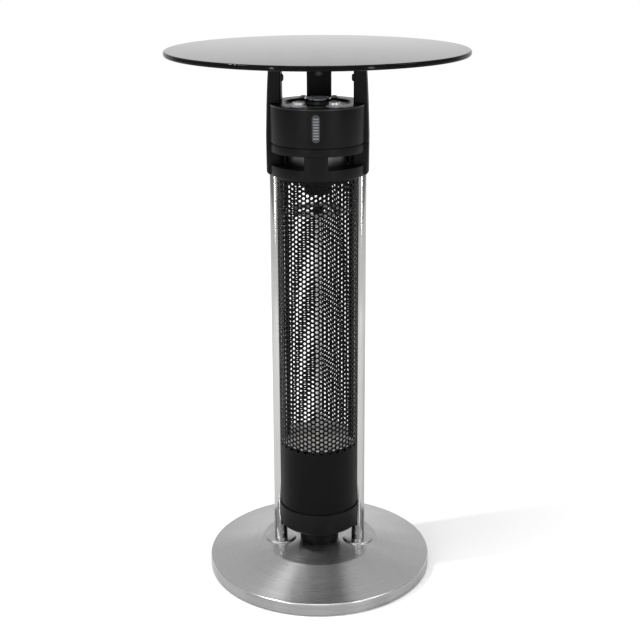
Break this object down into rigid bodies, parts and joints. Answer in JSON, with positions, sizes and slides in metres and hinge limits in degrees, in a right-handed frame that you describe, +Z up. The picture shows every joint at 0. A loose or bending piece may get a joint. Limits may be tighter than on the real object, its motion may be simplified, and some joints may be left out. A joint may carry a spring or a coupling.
{
  "type": "outdoor heater",
  "caption": "Free-standing electric patio heater that is also a bar table: round tinted glass top, control head, perforated heater column between two poles, weighted round base.",
  "frame": {"origin": "floor point under the middle of the column and of the glass top", "axes": "+Z up along the column; -Y is the front, where the display window is; +X to the right of someone facing the front"},
  "size_m": [0.5999, 0.6, 1.11],
  "materials": {
    "stainless": "circular brushed",
    "chrome": "polished",
    "cast_ballast": "cast cement",
    "zinc_steel": "zinc plated",
    "rubber_black": "matt",
    "black_plastic": "fine satin grain",
    "guard_black": "satin black powder coat",
    "heat_black": "heat-resistant black",
    "reflector_bright": "bright satin",
    "duct_grey": "satin",
    "ceramic_white": "unglazed",
    "quartz": "clear",
    "carbon": "carbon ribbon",
    "board_green": "solder mask",
    "relay_blue": "moulded",
    "switch_black": "moulded",
    "brass": "plain",
    "display_glass": "smoked clear",
    "knob_face": "circular brushed",
    "smoked_glass": "polished, dark tinted",
    "switch_white": "moulded"
  },
  "bodies": {
    "heater": {"base_cover": "stainless", "base_weight": "cast_ballast", "base_plate": "zinc_steel", "base_feet": "rubber_black", "base_screws": "zinc_steel", "base_stiffener": "zinc_steel", "pole_bolts": "zinc_steel", "pole_plugs": "zinc_steel", "pole_left": "chrome", "pole_right": "chrome", "pole_flange_left": "stainless", "pole_flange_right": "stainless", "bottom_cap": "black_plastic", "cap_neck": "black_plastic", "cable_grommet": "rubber_black", "cable_gland": "rubber_black", "lower_bracket": "zinc_steel", "tip_switch": "switch_white", "guard_front": "guard_black", "guard_rear": "guard_black", "lower_reflector": "reflector_bright", "upper_shield": "heat_black", "tube_bracket": "heat_black", "tube_holder_lower": "ceramic_white", "tube_holder_upper": "heat_black", "quartz_tube": "quartz", "heating_element": "carbon", "wire_conduit_left": "heat_black", "wire_conduit_right": "heat_black", "lower_housing": "black_plastic", "air_duct": "duct_grey", "control_housing": "black_plastic", "housing_screws": "zinc_steel", "control_deck": "black_plastic", "display_lens": "display_glass", "display_board": "board_green", "control_board": "board_green", "board_standoffs": "brass", "power_relays": "relay_blue", "terminal_block": "ceramic_white", "thermal_cutout": "switch_black", "button_switches": "switch_black", "selector_switch": "switch_black", "button_bezel_1": "chrome", "button_bezel_2": "chrome", "button_bezel_3": "chrome", "button_bezel_4": "chrome", "arm_left": "black_plastic", "arm_right": "black_plastic", "arm_back": "black_plastic", "arm_screws": "black_plastic", "glass_bosses": "chrome", "table_glass": "smoked_glass"},
    "dial": {"dial_knob": "chrome", "dial_face": "knob_face", "dial_shaft": "zinc_steel"},
    "button_front_left": {"button_1": "chrome"},
    "button_front_right": {"button_2": "chrome"},
    "button_back_right": {"button_3": "chrome"},
    "button_back_left": {"button_4": "chrome"}
  },
  "joints": [
    {"name": "dial_turn", "type": "hinge", "parent": "heater", "child": "dial", "pos_m": [0, 0, 1.01], "axis": [0, 0, -1], "range_deg": [0, 270]},
    {"name": "press_front_left", "type": "slide", "parent": "heater", "child": "button_front_left", "axis": [0, 0, -1], "range_m": [0, 0.0025], "stiffness_N_per_m": 400, "springref_m": -0.001},
    {"name": "press_front_right", "type": "slide", "parent": "heater", "child": "button_front_right", "axis": [0, 0, -1], "range_m": [0, 0.0025], "stiffness_N_per_m": 400, "springref_m": -0.001},
    {"name": "press_back_right", "type": "slide", "parent": "heater", "child": "button_back_right", "axis": [0, 0, -1], "range_m": [0, 0.0025], "stiffness_N_per_m": 400, "springref_m": -0.001},
    {"name": "press_back_left", "type": "slide", "parent": "heater", "child": "button_back_left", "axis": [0, 0, -1], "range_m": [0, 0.0025], "stiffness_N_per_m": 400, "springref_m": -0.001}
  ]
}
